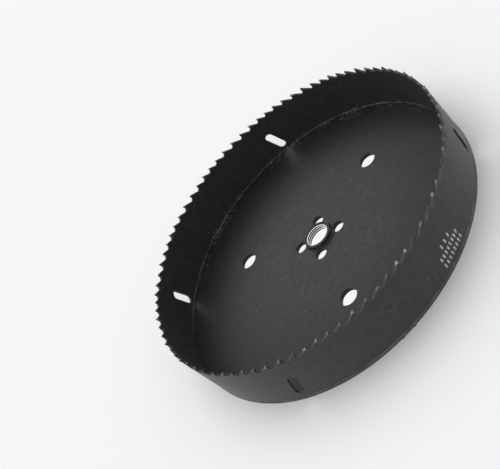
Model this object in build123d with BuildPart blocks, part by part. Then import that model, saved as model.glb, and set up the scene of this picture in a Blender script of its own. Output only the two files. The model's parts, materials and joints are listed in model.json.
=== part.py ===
from build123d import *
import os
from math import cos, degrees, pi, radians, sin, tan

# Cup: back face on the XY plane, axis along Z, teeth up
cup_diameter = 203.0
cup_height = 34.5
band_wall = 1.3

# Teeth: gaps between tips swell and shrink over each cycle
tooth_count = 84
teeth_per_cycle = 7
pitch_swing = 0.11
first_tip_angle = -7.5
gullet_ease = 2.0
rake_angle = 3.0
back_angle = 29.0
blank_spare = 0.2
tooth_set = 0.4
set_share = 0.8

# Slots through the band, for prising out the cut plug
slot_angles = (12.0, 96.0, 194.0, 297.0)
slot_width = 5.4
slot_length = 15.8
slot_middle = 12.5
slot_slant = 17.5

# End plate with its drawn and threaded collar
plate_thickness = 2.8
collar_wall = 1.15
collar_height = 2.4
collar_root = 0.7
thread_diameter = 15.875
thread_lead_in = 0.7
pin_circle_diameter = 26.8
pin_hole_diameter = 7.8
pin_count = 4
pin_start_angle = 15.0
relief_circle_diameter = 111.7
relief_hole_diameter = 11.0
relief_count = 3

# Weld that joins the plate's rim to the band's lower edge
weld_height = 2.2
weld_crown = 0.3
weld_groove = 0.4
weld_lump = 1.6
weld_lump_rise = 0.7
weld_lump_angles = (128.5, 133.0)

# Sizes that follow from those above
outer_radius = cup_diameter / 2
inner_radius = outer_radius - band_wall
middle_radius = outer_radius - band_wall / 2
mean_pitch_angle = 360.0 / tooth_count
smallest_pitch = radians(mean_pitch_angle * (1 - pitch_swing)) * middle_radius
cutter_start = inner_radius - tooth_set - band_wall
cutter_length = 2 * (outer_radius + tooth_set - cutter_start)
blank_height = cup_height + blank_spare
thread_radius = thread_diameter / 2
collar_radius = thread_radius + collar_wall


def tip_angles():
    """Angle of every tooth tip, and of the first one again at the end."""
    tips = [first_tip_angle]
    for tooth in range(tooth_count):
        place = 2 * pi * (tooth % teeth_per_cycle - teeth_per_cycle // 2) / teeth_per_cycle
        tips.append(tips[-1] + mean_pitch_angle * (1 + pitch_swing * cos(place)))
    return tips


def wall_plane(angle, height):
    """Plane just inside the wall: X runs round it, Y up, Z outward."""
    turn = radians(angle)
    outward = (cos(turn), sin(turn), 0)
    foot = (cutter_start * cos(turn), cutter_start * sin(turn), height)
    return Plane(origin=foot, x_dir=(-sin(turn), cos(turn), 0), z_dir=outward)


def corner_depth(pitch):
    """Depth at which a rake face and the back behind it would meet."""
    rake_slope = tan(radians(rake_angle))
    back_slope = tan(radians(back_angle))
    return pitch * back_slope / (1 - rake_slope * back_slope)


def draw_gullet(angle, next_angle):
    """Space between one tooth's rake face and the back of the next tooth."""
    half_pitch = middle_radius * sin(radians(next_angle - angle) / 2)
    corner = corner_depth(2 * half_pitch)
    lean_back = corner * tan(radians(rake_angle))
    overrun = 2 * blank_spare / tan(radians(back_angle))
    with BuildSketch(wall_plane((angle + next_angle) / 2, cup_height)) as gullet:
        with BuildLine():
            Polyline(
                (-half_pitch + lean_back, corner),
                (-half_pitch - lean_back, -corner),
                (half_pitch + overrun, 2 * blank_spare),
                (half_pitch + overrun, corner),
                close=True,
            )
        make_face()
        chamfer(gullet.vertices().sort_by(Axis.Y)[0], length=gullet_ease)
    return gullet.sketch


def draw_set_section(angle, lean):
    """Wall section above the set line, leaning by the set at its top."""
    with BuildSketch(Plane.XZ.rotated((0, 0, angle))) as section:
        with BuildLine():
            Polyline(
                (inner_radius, set_height),
                (outer_radius, set_height),
                (outer_radius + lean, blank_height),
                (inner_radius + lean, blank_height),
                close=True,
            )
        make_face()
    return section.sketch


def draw_slot(angle):
    """Round-ended slot, leaning from upright by the slant."""
    with BuildSketch(wall_plane(angle, slot_middle)) as slot:
        SlotOverall(slot_length, slot_width, rotation=90 - slot_slant)
    return slot.sketch


# Toothed band: one strip rolled into a ring, with set teeth and slots
tips = tip_angles()
gullet_floor = corner_depth(smallest_pitch) - gullet_ease * sin(radians(back_angle))
set_height = cup_height - set_share * gullet_floor
set_arc = 0.94 * mean_pitch_angle * (1 - pitch_swing)
set_lead = degrees(0.6 * gullet_ease / middle_radius)
with BuildPart() as toothed_band:
    with BuildSketch(Plane.XZ):
        with BuildLine():
            Polyline(
                (inner_radius, weld_height),
                (outer_radius, weld_height),
                (outer_radius, set_height),
                (inner_radius, set_height),
                close=True,
            )
        make_face()
    revolve(axis=Axis.Z)

    set_sections = []
    for tooth, tip in enumerate(tips[:-1]):
        lean = tooth_set * (1, -1, 0)[tooth % 3]
        set_sections.append(draw_set_section(tip + set_lead - set_arc, lean).face())
    revolve(set_sections, axis=Axis.Z, revolution_arc=set_arc)

    cuts = [draw_gullet(tip, next_tip).face() for tip, next_tip in zip(tips, tips[1:])]
    cuts += [draw_slot(angle).face() for angle in slot_angles]
    extrude(cuts, amount=cutter_length, mode=Mode.SUBTRACT)

# End plate: pressed disc with a collar drawn up round the thread
with BuildPart() as end_plate:
    with BuildSketch(Plane.XY):
        Circle(inner_radius)
    extrude(amount=plate_thickness)
    with BuildSketch(Plane.XY.offset(plate_thickness)):
        Circle(collar_radius)
    extrude(amount=collar_height)
    collar_edges = end_plate.edges(Select.LAST).filter_by(GeomType.CIRCLE)
    chamfer(collar_edges.sort_by(Axis.Z)[0], length=collar_root)
    Hole(radius=thread_radius)
    thread_edges = end_plate.edges(Select.LAST).filter_by(GeomType.CIRCLE)
    chamfer(thread_edges.sort_by(Axis.Z)[-1], length=thread_lead_in)
    with PolarLocations(pin_circle_diameter / 2, pin_count, start_angle=pin_start_angle):
        Hole(radius=pin_hole_diameter / 2)
    with PolarLocations(relief_circle_diameter / 2, relief_count):
        Hole(radius=relief_hole_diameter / 2)

# Weld bead: low crown round the back corner, with lumps where it starts and ends
with BuildPart() as weld_bead:
    with BuildSketch(Plane.XZ):
        with BuildLine():
            Polyline(
                (inner_radius, 0),
                (outer_radius + weld_crown, 0),
                (outer_radius - weld_groove, weld_height),
                (inner_radius, weld_height),
                close=True,
            )
        make_face()
    revolve(axis=Axis.Z)
    for angle in weld_lump_angles:
        with Locations(Plane.XY.rotated((0, 0, angle))):
            with Locations((outer_radius + weld_lump_rise - weld_lump, 0)):
                Sphere(radius=weld_lump)
    split(bisect_by=Plane.XY, keep=Keep.TOP)
    Cylinder(radius=inner_radius, height=2 * cup_height, mode=Mode.SUBTRACT)

os.makedirs("parts", exist_ok=True)
toothed_band.part.label = "toothed_band"
export_step(toothed_band.part, "parts/toothed_band.step")
end_plate.part.label = "end_plate"
export_step(end_plate.part, "parts/end_plate.step")
weld_bead.part.label = "weld_bead"
export_step(weld_bead.part, "parts/weld_bead.step")
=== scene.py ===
import json
from math import cos, pi, radians, sin

import bmesh
import bpy
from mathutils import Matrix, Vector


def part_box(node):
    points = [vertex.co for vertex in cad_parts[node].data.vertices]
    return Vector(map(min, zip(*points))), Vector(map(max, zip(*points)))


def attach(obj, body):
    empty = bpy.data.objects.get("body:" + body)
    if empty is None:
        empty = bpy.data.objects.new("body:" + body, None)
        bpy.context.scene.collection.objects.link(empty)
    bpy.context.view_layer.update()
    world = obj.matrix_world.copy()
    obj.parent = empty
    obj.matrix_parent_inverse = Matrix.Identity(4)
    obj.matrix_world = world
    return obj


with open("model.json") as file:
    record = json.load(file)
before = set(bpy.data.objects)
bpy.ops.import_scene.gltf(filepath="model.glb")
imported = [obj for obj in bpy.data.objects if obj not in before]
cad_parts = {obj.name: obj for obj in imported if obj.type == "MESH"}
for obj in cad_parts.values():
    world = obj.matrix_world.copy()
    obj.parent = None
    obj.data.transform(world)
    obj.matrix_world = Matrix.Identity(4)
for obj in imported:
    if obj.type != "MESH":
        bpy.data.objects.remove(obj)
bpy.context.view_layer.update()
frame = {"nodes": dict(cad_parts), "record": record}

MM = 0.001

# Places on the cup, from the frame and from the thickness of its wall and plate
band_wall = 1.3 * MM
plate_top = 2.8 * MM
inner_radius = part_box("end_plate")[1].x
cup_radius = inner_radius + band_wall
weld_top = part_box("toothed_band")[0].z
rim_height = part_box("toothed_band")[1].z
collar_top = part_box("end_plate")[1].z
arbor_thread = next(m for m in frame["record"]["mounts"] if m["name"] == "arbor_thread")
thread_root = arbor_thread["dims"]["r_mm"] * MM

# Thread of the bore: eighteen turns to the inch, rising to its full depth over a quarter turn
thread_pitch = 25.4 / 18 * MM
thread_depth = 0.72 * MM
thread_flank = 0.44 * thread_pitch
thread_crest = 0.07 * thread_pitch
thread_start = 0.05 * MM
thread_end = collar_top - 0.03 * MM
thread_lead_in = 0.7 * MM
thread_foot_angle = 60
thread_run_in = 0.25
thread_steps = 72
end_gap = 0.1 * thread_flank
least_ridge = 0.02 * MM
wall_overlap = 0.05 * MM

# Pale bars in place of the cup's printed size: each row's height, bars and spacing in mm
print_angle = 156.1
print_rows = ((14.7, 3, 3.6), (10.3, 8, 2.4), (5.9, 8, 2.5))
bar_width = 1.1 * MM
bar_height = 2.6 * MM
print_thickness = 0.02 * MM

# Sizes of what the finishes draw. Dust, flecks and weld beads are finer on a real saw,
# and are drawn as coarse as they need to be to show.
cloud_size = 3.5 * MM
peel_size = 1.6 * MM
dust_size = 0.9 * MM
dust_fade = 0.07
dust_drift_size = 24 * MM
fleck_size = 1.6 * MM
bead_size = 1.2 * MM
bead_drift_size = 16 * MM
rub_size = 4 * MM
weld_patch_size = 6 * MM
weld_ripple_size = 1.8 * MM
tool_mark_size = 0.6 * MM
print_gap_size = 0.9 * MM

# Wear: how far it reaches over an edge, and the side where the inner seam is rubbed bright
edge_reach = 0.35 * MM
rubbed_angle = 305

# Studio: white board, white surround, and the lamp with its height, side and spread in degrees
floor_reach = 8.0
floor_level = -0.1 * MM
board_white = "#f7f7f7"
surround_light = 0.62
surround_white = 0.93
softbox_light = 1.4
softbox_height = 57
softbox_side = 332
softbox_spread = 70

# Camera, fitted to the rims, teeth and holes in the photograph: angles in degrees
camera_sensor = 36
camera_lens = 57.68
camera_shift = (-0.1374, -0.0727)
camera_place = (-0.26072, 0.27107, 0.28195)
camera_turn = (44.496, 37.051, -170.113)

# Sockets of a colour mix: its share, the colour under, the colour over, and what it gives
SHARE, UNDER, OVER, MIXED = 0, 6, 7, 2


def linear(code):
    """Linear RGBA of an sRGB hex colour."""
    parts = [int(code[i:i + 2], 16) / 255 for i in (1, 3, 5)]
    lit = [c / 12.92 if c <= 0.04045 else ((c + 0.055) / 1.055) ** 2.4 for c in parts]
    return (*lit, 1.0)


def add(tree, kind, sockets=None, give=0, **settings):
    """Adds a node with its settings, and gives one of its outputs.
    Each socket is linked to the output that feeds it, or set to a value or a hex colour."""
    node = tree.nodes.new(kind)
    for name, value in settings.items():
        setattr(node, name, value)
    for name, value in (sockets or {}).items():
        if isinstance(value, bpy.types.NodeSocket):
            tree.links.new(value, node.inputs[name])
        else:
            node.inputs[name].default_value = linear(value) if isinstance(value, str) else value
    return node.outputs[give] if node.outputs else None


def new_finish(name):
    """Material with an empty tree, in which its finish is built."""
    material = bpy.data.materials.new(name)
    material.use_nodes = True
    material.node_tree.nodes.clear()
    return material, material.node_tree


def from_axis(tree, point):
    """Distance of a point on the cup from the saw's axis."""
    flat = add(tree, "ShaderNodeVectorMath", {0: point, 1: (1, 1, 0)}, operation="MULTIPLY")
    return add(tree, "ShaderNodeVectorMath", {0: flat}, "Value", operation="LENGTH")


def patches(tree, point, size, start, full, detail=1.0):
    """Scattered patches about the given size across, fading in as their noise goes from start to full."""
    noise = add(tree, "ShaderNodeTexNoise", {"Vector": point, "Scale": 1 / size, "Detail": detail})
    return add(tree, "ShaderNodeMapRange", {"Value": noise, "From Min": start, "From Max": full})


def fine_relief(tree, point, size, depth, strength, detail=2.0):
    """Normal of an uneven surface, whose lumps are about the given size across."""
    noise = add(tree, "ShaderNodeTexNoise", {"Vector": point, "Scale": 1 / size, "Detail": detail})
    return add(tree, "ShaderNodeBump", {"Height": noise, "Distance": depth, "Strength": strength})


def enamel_tone(tree, point, dark, light, dust_limit):
    """Enamel that is a little uneven in tone, under fine pale dust that lies in drifts."""
    clouds = add(tree, "ShaderNodeTexNoise", {"Vector": point, "Scale": 1 / cloud_size, "Detail": 4.0})
    tone = add(tree, "ShaderNodeMix", {SHARE: clouds, UNDER: dark, OVER: light}, MIXED, data_type="RGBA")
    grains = patches(tree, point, dust_size, start=dust_limit, full=dust_limit + dust_fade)
    drifts = patches(tree, point, dust_drift_size, start=0.40, full=0.60)
    dust = add(tree, "ShaderNodeMath", {0: grains, 1: drifts}, operation="MULTIPLY")
    dusty = add(tree, "ShaderNodeMix", {
        SHARE: dust,
        UNDER: tone,
        OVER: "#626264",
    }, MIXED, data_type="RGBA")
    flecks = patches(tree, point, fleck_size, start=0.775, full=0.80)
    return add(tree, "ShaderNodeMix", {SHARE: flecks, UNDER: dusty, OVER: "#7c7c7e"}, MIXED, data_type="RGBA")


def worn_edges(tree):
    """1 on sharp edges, where the finish is rubbed through, and 0 on flats."""
    rounded = add(tree, "ShaderNodeBevel", {"Radius": edge_reach}, samples=6)
    flat = add(tree, "ShaderNodeNewGeometry", give="True Normal")
    turned = add(tree, "ShaderNodeVectorMath", {0: rounded, 1: flat}, "Value", operation="DOT_PRODUCT")
    return add(tree, "ShaderNodeMapRange", {"Value": turned, "From Min": 0.97, "From Max": 0.80})


def rubbed_side(tree, point):
    """1 on the side of the cup where the inner seam is rubbed bright, fading to 0 across the axis."""
    side = (cos(radians(rubbed_angle)), sin(radians(rubbed_angle)), 0)
    reach = add(tree, "ShaderNodeVectorMath", {0: point, 1: side}, "Value", operation="DOT_PRODUCT")
    return add(tree, "ShaderNodeMapRange", {
        "Value": reach,
        "From Min": 0.05 * inner_radius,
        "From Max": 0.75 * inner_radius,
    })


def weld_spatter(tree, point, near_seam):
    """Scattered bright beads of weld metal beside the inner seam."""
    beads = patches(tree, point, bead_size, start=0.57, full=0.64)
    drifts = patches(tree, point, bead_drift_size, start=0.38, full=0.52)
    scattered = add(tree, "ShaderNodeMath", {0: beads, 1: drifts}, operation="MULTIPLY")
    return add(tree, "ShaderNodeMath", {0: scattered, 1: near_seam}, operation="MULTIPLY")


def band_enamel():
    """Black baked enamel on rolled steel strip: near black, satin, with a faint grain.
    The teeth are rubbed to bare steel at their tips and along their edges, and glint there."""
    material, tree = new_finish("baked_enamel_on_band")
    point = add(tree, "ShaderNodeTexCoord", give="Object")
    radius = from_axis(tree, point)
    height = add(tree, "ShaderNodeSeparateXYZ", {0: point}, "Z")
    colour = enamel_tone(tree, point, "#262627", "#3e3e3f", 0.69)

    # Spatter on the inside, just above the plate
    inside = add(tree, "ShaderNodeMapRange", {
        "Value": radius,
        "From Min": inner_radius + 0.4 * MM,
        "From Max": inner_radius + 0.2 * MM,
    })
    above_plate = add(tree, "ShaderNodeMapRange", {
        "Value": height,
        "From Min": plate_top + 2.5 * MM,
        "From Max": plate_top + 0.4 * MM,
    })
    strip = add(tree, "ShaderNodeMath", {0: inside, 1: above_plate}, operation="MULTIPLY")
    near_seam = add(tree, "ShaderNodeMath", {0: strip, 1: rubbed_side(tree, point)}, operation="MULTIPLY")
    beads = weld_spatter(tree, point, near_seam)
    colour = add(tree, "ShaderNodeMix", {
        SHARE: beads,
        UNDER: colour,
        OVER: "#7c7c7e",
    }, MIXED, data_type="RGBA")

    # Painted shadow: a dark strip on the outside, in the groove where the band meets the weld
    outside = add(tree, "ShaderNodeMapRange", {
        "Value": radius,
        "From Min": cup_radius - 0.3 * MM,
        "From Max": cup_radius - 0.2 * MM,
    })
    above_weld = add(tree, "ShaderNodeMapRange", {
        "Value": height,
        "From Min": weld_top + 0.4 * MM,
        "From Max": weld_top + 0.1 * MM,
    })
    painted_shading_strip = add(tree, "ShaderNodeMath", {0: above_weld, 1: outside}, operation="MULTIPLY")
    colour = add(tree, "ShaderNodeMix", {
        SHARE: painted_shading_strip,
        UNDER: colour,
        OVER: "#161617",
    }, MIXED, data_type="RGBA")

    # Bare steel in patches, along the teeth's edges and over their tips
    teeth = add(tree, "ShaderNodeMapRange", {
        "Value": height,
        "From Min": rim_height - 4.0 * MM,
        "From Max": rim_height - 2.0 * MM,
    })
    tips = add(tree, "ShaderNodeMapRange", {
        "Value": height,
        "From Min": rim_height - 1.3 * MM,
        "From Max": rim_height - 0.7 * MM,
    })
    edges = add(tree, "ShaderNodeMath", {0: teeth, 1: worn_edges(tree)}, operation="MULTIPLY")
    rubbed = add(tree, "ShaderNodeMath", {0: edges, 1: tips}, operation="MAXIMUM")
    rubs = patches(tree, point, rub_size, start=0.42, full=0.66, detail=4.0)
    bare = add(tree, "ShaderNodeMath", {0: rubs, 1: rubbed}, operation="MULTIPLY")
    colour = add(tree, "ShaderNodeMix", {
        SHARE: bare,
        UNDER: colour,
        OVER: "#9c9c9e",
    }, MIXED, data_type="RGBA")

    surface = add(tree, "ShaderNodeBsdfPrincipled", {
        "Base Color": colour,
        "Metallic": bare,
        "Roughness": 0.48,
        "Specular IOR Level": 0.27,
        "Normal": fine_relief(tree, point, peel_size, depth=0.12 * MM, strength=0.9, detail=4.0),
    })
    add(tree, "ShaderNodeOutputMaterial", {"Surface": surface})
    return material


def plate_enamel():
    """The same enamel on pressed sheet steel: a satin disc, with painted shade darkening it toward the wall.
    The bore is machined after painting and shows bare steel."""
    material, tree = new_finish("baked_enamel_on_plate")
    point = add(tree, "ShaderNodeTexCoord", give="Object")
    radius = from_axis(tree, point)
    colour = enamel_tone(tree, point, "#1d1d1e", "#3e3e3f", 0.67)
    # Painted shade: the disc darkens toward the wall, in place of the shade the wall casts on it
    painted_wall_shade = add(tree, "ShaderNodeMapRange", {
        "Value": radius,
        "From Min": inner_radius - 60 * MM,
        "From Max": inner_radius - 22 * MM,
        "To Max": 0.75,
    })
    colour = add(tree, "ShaderNodeMix", {
        SHARE: painted_wall_shade,
        UNDER: colour,
        OVER: "#1e1e1f",
    }, MIXED, data_type="RGBA")

    # Bright seam against the wall, and spatter beside it
    side = rubbed_side(tree, point)
    at_wall = add(tree, "ShaderNodeMapRange", {
        "Value": radius,
        "From Min": inner_radius - 0.8 * MM,
        "From Max": inner_radius - 0.5 * MM,
    })
    seam = add(tree, "ShaderNodeMath", {0: side, 1: at_wall}, operation="MULTIPLY")
    rubs = patches(tree, point, rub_size, start=0.25, full=0.65, detail=5.0)
    bright = add(tree, "ShaderNodeMath", {0: seam, 1: rubs}, operation="MULTIPLY")
    colour = add(tree, "ShaderNodeMix", {
        SHARE: bright,
        UNDER: colour,
        OVER: "#8e8e90",
    }, MIXED, data_type="RGBA")
    near_wall = add(tree, "ShaderNodeMapRange", {
        "Value": radius,
        "From Min": inner_radius - 9 * MM,
        "From Max": inner_radius - 1 * MM,
    })
    near_seam = add(tree, "ShaderNodeMath", {0: side, 1: near_wall}, operation="MULTIPLY")
    beads = weld_spatter(tree, point, near_seam)
    colour = add(tree, "ShaderNodeMix", {
        SHARE: beads,
        UNDER: colour,
        OVER: "#7c7c7e",
    }, MIXED, data_type="RGBA")

    # Bare steel in the bore, toned dark as painted shade in the thread's grooves
    bare = add(tree, "ShaderNodeMapRange", {
        "Value": radius,
        "From Min": thread_root + 0.20 * MM,
        "From Max": thread_root + 0.14 * MM,
    })
    colour = add(tree, "ShaderNodeMix", {
        SHARE: bare,
        UNDER: colour,
        OVER: "#464648",
    }, MIXED, data_type="RGBA")

    surface = add(tree, "ShaderNodeBsdfPrincipled", {
        "Base Color": colour,
        "Metallic": bare,
        "Roughness": 0.46,
        "Specular IOR Level": 0.16,
        "Normal": fine_relief(tree, point, peel_size, depth=0.12 * MM, strength=0.9, detail=4.0),
    })
    add(tree, "ShaderNodeOutputMaterial", {"Surface": surface})
    return material


def weld_enamel():
    """The same enamel over a rippled weld, with a painted highlight on its crown: a grey strip round the
    back.
    """
    material, tree = new_finish("baked_enamel_on_weld")
    point = add(tree, "ShaderNodeTexCoord", give="Object")
    height = add(tree, "ShaderNodeSeparateXYZ", {0: point}, "Z")
    colour = enamel_tone(tree, point, "#1f1f20", "#2b2b2c", 0.72)
    # Painted highlight: the weld's crown is drawn lighter, in uneven patches
    above_foot = add(tree, "ShaderNodeMapRange", {
        "Value": height,
        "From Min": 0.4 * MM,
        "From Max": 0.7 * MM,
    })
    below_top = add(tree, "ShaderNodeMapRange", {
        "Value": height,
        "From Min": 2.0 * MM,
        "From Max": 1.7 * MM,
    })
    crown = add(tree, "ShaderNodeMath", {0: above_foot, 1: below_top}, operation="MULTIPLY")
    uneven = patches(tree, point, weld_patch_size, start=0.30, full=0.70, detail=3.0)
    painted_shading_strip = add(tree, "ShaderNodeMath", {0: crown, 1: uneven}, operation="MULTIPLY")
    colour = add(tree, "ShaderNodeMix", {
        SHARE: painted_shading_strip,
        UNDER: colour,
        OVER: "#5c5c5e",
    }, MIXED, data_type="RGBA")

    surface = add(tree, "ShaderNodeBsdfPrincipled", {
        "Base Color": colour,
        "Roughness": 0.5,
        "Normal": fine_relief(tree, point, weld_ripple_size, depth=0.2 * MM, strength=0.8),
    })
    add(tree, "ShaderNodeOutputMaterial", {"Surface": surface})
    return material


def cut_steel():
    """Carbon steel as the thread tool left it, with a painted highlight on each crest and painted shade down
    the flanks.
    Enamel covers the land where the ridge meets the collar's face."""
    material, tree = new_finish("thread_cut_steel")
    point = add(tree, "ShaderNodeTexCoord", give="Object")
    # Painted highlight on the crest of the ridge, painted shade on its flanks
    painted_crest_highlight = add(tree, "ShaderNodeMapRange", {
        "Value": from_axis(tree, point),
        "From Min": thread_root - 0.45 * MM,
        "From Max": thread_root - 0.66 * MM,
    })
    steel = add(tree, "ShaderNodeMix", {
        SHARE: painted_crest_highlight,
        UNDER: "#262628",
        OVER: "#e2e2e3",
    }, MIXED, data_type="RGBA")
    bare = add(tree, "ShaderNodeMapRange", {
        "Value": add(tree, "ShaderNodeSeparateXYZ", {0: point}, "Z"),
        "From Min": thread_end - 0.05 * MM,
        "From Max": thread_end - 0.10 * MM,
    })
    colour = add(tree, "ShaderNodeMix", {
        SHARE: bare,
        UNDER: "#101011",
        OVER: steel,
    }, MIXED, data_type="RGBA")

    surface = add(tree, "ShaderNodeBsdfPrincipled", {
        "Base Color": colour,
        "Metallic": bare,
        "Roughness": add(tree, "ShaderNodeMapRange", {"Value": bare, "To Min": 0.7, "To Max": 0.24}),
        "Normal": fine_relief(tree, point, tool_mark_size, depth=0.03 * MM, strength=0.3),
    })
    add(tree, "ShaderNodeOutputMaterial", {"Surface": surface})
    return material


def print_paint():
    """Pad-printed pale paint, thin and a little broken over the enamel's grain."""
    material, tree = new_finish("pad_printed_paint")
    point = add(tree, "ShaderNodeTexCoord", give="Object")
    cover = patches(tree, point, print_gap_size, start=0.34, full=0.52, detail=2.0)
    colour = add(tree, "ShaderNodeMix", {
        SHARE: cover,
        UNDER: "#707071",
        OVER: "#c4c4c5",
    }, MIXED, data_type="RGBA")
    surface = add(tree, "ShaderNodeBsdfPrincipled", {"Base Color": colour, "Roughness": 0.6})
    add(tree, "ShaderNodeOutputMaterial", {"Surface": surface})
    return material


def mirrored_rays(tree):
    """1 for the rays that reflections and clear things send, and 0 for all others."""
    glossy = add(tree, "ShaderNodeLightPath", give="Is Glossy Ray")
    passed = add(tree, "ShaderNodeLightPath", give="Is Transmission Ray")
    return add(tree, "ShaderNodeMath", {0: glossy, 1: passed}, operation="MAXIMUM")


def white_board():
    """Matt white board: plain white to the eye, and keeps the cup's shadow.
    Reflections, and the camera through the plate's holes, see it unshaded."""
    material, tree = new_finish("matt_white_board")
    point = add(tree, "ShaderNodeTexCoord", give="Object")
    under_plate = add(tree, "ShaderNodeMapRange", {
        "Value": from_axis(tree, point),
        "From Min": inner_radius,
        "From Max": inner_radius - 5 * MM,
    })
    camera = add(tree, "ShaderNodeLightPath", give="Is Camera Ray")
    through_holes = add(tree, "ShaderNodeMath", {0: under_plate, 1: camera}, operation="MULTIPLY")
    unshaded = add(tree, "ShaderNodeMath", {0: through_holes, 1: mirrored_rays(tree)}, operation="MAXIMUM")
    board = add(tree, "ShaderNodeBsdfPrincipled", {
        "Base Color": board_white,
        "Roughness": 0.9,
        "Specular IOR Level": 0.2,
    })
    glow = add(tree, "ShaderNodeEmission", {"Color": board_white, "Strength": 1.0})
    surface = add(tree, "ShaderNodeMixShader", {0: unshaded, 1: board, 2: glow})
    add(tree, "ShaderNodeOutputMaterial", {"Surface": surface})
    return material


def dress(node, material):
    """Gives one piece of the cup its finish."""
    slots = frame["nodes"][node].data.materials
    slots.clear()
    slots.append(material)


def place_mesh(name, build, material):
    """Object whose mesh is drawn by a build function, with its finish."""
    mesh = bpy.data.meshes.new(name)
    shape = bmesh.new()
    build(shape)
    bmesh.ops.recalc_face_normals(shape, faces=shape.faces)
    shape.to_mesh(mesh)
    shape.free()
    mesh.materials.append(material)
    placed = bpy.data.objects.new(name, mesh)
    bpy.context.scene.collection.objects.link(placed)
    return placed


def add_piece(name, build, material):
    """Fine piece that the solids leave out, riding on the cup."""
    piece = place_mesh(name, build, material)
    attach(piece, "root")


def build_thread(shape):
    """Ridge of the thread: a blunt V carried up the bore on a helix, and cut off by the collar's face."""
    cone_foot = collar_top - thread_lead_in
    length = thread_end - thread_start - end_gap
    corners = ((-thread_flank, False), (-thread_crest, True), (thread_crest, True), (thread_flank, False))
    rings = []
    for step in range(round(length / thread_pitch * thread_steps) + 1):
        angle = 2 * pi * step / thread_steps + radians(thread_foot_angle)
        middle = thread_start + thread_flank + thread_pitch * step / thread_steps
        rise = min(1.0, step / thread_steps / thread_run_in)
        left = min(1.0, (thread_end - middle + thread_flank) / (thread_flank - thread_crest))
        peak = thread_root - max(least_ridge, thread_depth * rise * left)
        ring = []
        for offset, at_crest in corners:
            level = min(middle + offset, thread_end)
            wall = thread_root + wall_overlap + max(0.0, level - cone_foot)
            reach = peak if at_crest else wall
            ring.append(shape.verts.new((reach * cos(angle), reach * sin(angle), level)))
        rings.append(ring)
    for near, far in zip(rings, rings[1:]):
        for side in range(len(corners)):
            after = (side + 1) % len(corners)
            shape.faces.new((near[side], near[after], far[after], far[side]))
    shape.faces.new(rings[0])
    shape.faces.new(rings[-1])


def build_print(shape):
    """Rows of plain upright bars on the outside of the wall, each a strip of two quads."""
    reach = cup_radius + print_thickness
    for row_height, bars, spacing in print_rows:
        low = row_height * MM - bar_height / 2
        for bar in range(bars):
            middle = (bar - (bars - 1) / 2) * spacing * MM
            edges = []
            for along in (middle - bar_width / 2, middle, middle + bar_width / 2):
                turn = radians(print_angle) + along / reach
                foot = (reach * cos(turn), reach * sin(turn))
                edges.append([shape.verts.new((*foot, low + up)) for up in (0, bar_height)])
            for near, far in zip(edges, edges[1:]):
                shape.faces.new((near[0], far[0], far[1], near[1]))


def build_floor(shape):
    """Flat board under the cup, wide enough to fill the picture."""
    corners = ((-1, -1), (1, -1), (1, 1), (-1, 1))
    shape.faces.new([shape.verts.new((x * floor_reach, y * floor_reach, floor_level)) for x, y in corners])


def light_studio():
    """White surround, and one very broad lamp from the upper left of the picture."""
    world = bpy.data.worlds.new("white_surround")
    world.use_nodes = True
    bpy.context.scene.world = world
    tree = world.node_tree
    tree.nodes.clear()
    camera = add(tree, "ShaderNodeLightPath", give="Is Camera Ray")
    seen = add(tree, "ShaderNodeMath", {0: camera, 1: mirrored_rays(tree)}, operation="MAXIMUM")
    strength = add(tree, "ShaderNodeMapRange", {
        "Value": seen,
        "To Min": surround_light,
        "To Max": surround_white,
    })
    surround = add(tree, "ShaderNodeBackground", {"Color": "#ffffff", "Strength": strength})
    add(tree, "ShaderNodeOutputWorld", {"Surface": surround})

    lamp = bpy.data.lights.new("softbox", "SUN")
    lamp.energy = softbox_light
    lamp.angle = radians(softbox_spread)
    softbox = bpy.data.objects.new("softbox", lamp)
    softbox.rotation_euler = (radians(90 - softbox_height), 0, radians(90 + softbox_side))
    bpy.context.scene.collection.objects.link(softbox)


def place_camera():
    """Camera at the photograph's viewing angle, which takes in the cup tipped up."""
    lens = bpy.data.cameras.new("camera")
    lens.sensor_width = camera_sensor
    lens.lens = camera_lens
    lens.shift_x, lens.shift_y = camera_shift
    camera = bpy.data.objects.new("camera", lens)
    camera.location = camera_place
    camera.rotation_euler = [radians(turn) for turn in camera_turn]
    bpy.context.scene.collection.objects.link(camera)
    bpy.context.scene.camera = camera


dress("toothed_band", band_enamel())
dress("end_plate", plate_enamel())
dress("weld_bead", weld_enamel())
add_piece("bore_thread", build_thread, cut_steel())
add_piece("printed_bars", build_print, print_paint())

floor = place_mesh("floor", build_floor, white_board())
light_studio()
place_camera()
bpy.context.scene.view_settings.view_transform = "Standard"
